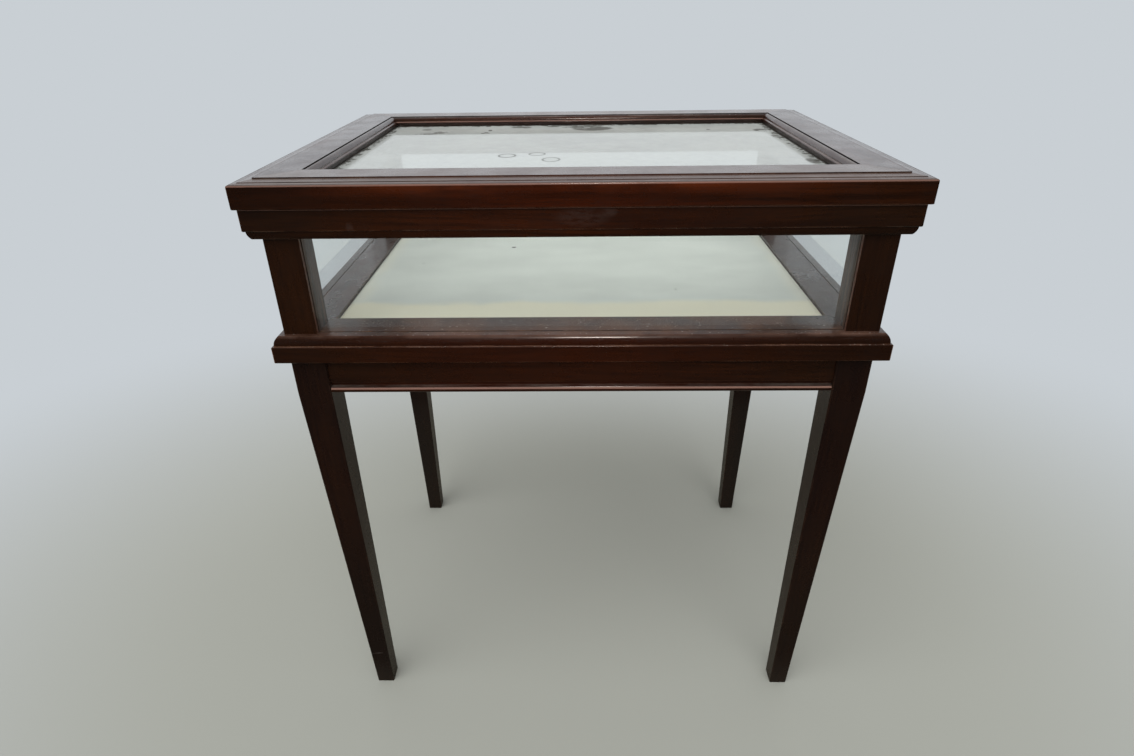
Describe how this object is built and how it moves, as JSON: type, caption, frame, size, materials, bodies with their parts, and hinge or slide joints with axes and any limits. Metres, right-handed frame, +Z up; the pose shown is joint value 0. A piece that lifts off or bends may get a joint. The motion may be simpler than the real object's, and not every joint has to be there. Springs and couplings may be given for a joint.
{
  "type": "collectors display table",
  "caption": "Glazed display table: a shallow glass-sided case on square tapered legs, with a mitred glazed lid hinged along the back over a cloth-covered floor.",
  "frame": {"origin": "on the floor, under the middle of the top", "axes": "+Z up, +X to the table's right as seen from the front, front towards -Y"},
  "size_m": [0.684, 0.498, 0.76],
  "materials": {
    "mahogany": "worn french polish",
    "beech": "bare",
    "plywood": "bare",
    "glass": "clear",
    "lining": "matt cloth",
    "brass": "aged",
    "steel": "plain"
  },
  "bodies": {
    "case": {"apron_back": "mahogany", "apron_bead_back": "mahogany", "apron_bead_front": "mahogany", "apron_bead_left": "mahogany", "apron_bead_right": "mahogany", "apron_front": "mahogany", "apron_left": "mahogany", "apron_right": "mahogany", "base_frame_back": "mahogany", "base_frame_front": "mahogany", "base_frame_left": "mahogany", "base_frame_right": "mahogany", "base_frame_splines": "beech", "base_panel": "plywood", "case_rail_back": "mahogany", "case_rail_front": "mahogany", "case_rail_left": "mahogany", "case_rail_right": "mahogany", "case_rail_splines": "beech", "corner_block_back_left": "beech", "corner_block_back_right": "beech", "corner_block_front_left": "beech", "corner_block_front_right": "beech", "display_lining": "lining", "frame_screws": "steel", "hinge_leaf_case_left": "brass", "hinge_leaf_case_right": "brass", "hinge_pin_left": "brass", "hinge_pin_right": "brass", "hinge_screws_case": "brass", "leg_back_left": "mahogany", "leg_back_right": "mahogany", "leg_front_left": "mahogany", "leg_front_right": "mahogany", "post_back_left": "mahogany", "post_back_right": "mahogany", "post_dowels": "beech", "post_front_left": "mahogany", "post_front_right": "mahogany", "side_glass_back": "glass", "side_glass_front": "glass", "side_glass_left": "glass", "side_glass_right": "glass"},
    "lid": {"hinge_leaf_lid_left": "brass", "hinge_leaf_lid_right": "brass", "hinge_screws_lid": "brass", "lid_frame_back": "mahogany", "lid_frame_front": "mahogany", "lid_frame_left": "mahogany", "lid_frame_right": "mahogany", "lid_frame_splines": "beech", "lid_glass": "glass", "lid_moulding_back": "mahogany", "lid_moulding_front": "mahogany", "lid_moulding_left": "mahogany", "lid_moulding_right": "mahogany"}
  },
  "joints": [
    {"name": "lid_hinge", "type": "hinge", "parent": "case", "child": "lid", "pos_m": [0, 0.2457, 0.73225], "axis": [-1, 0, 0], "range_deg": [0, 103]}
  ]
}
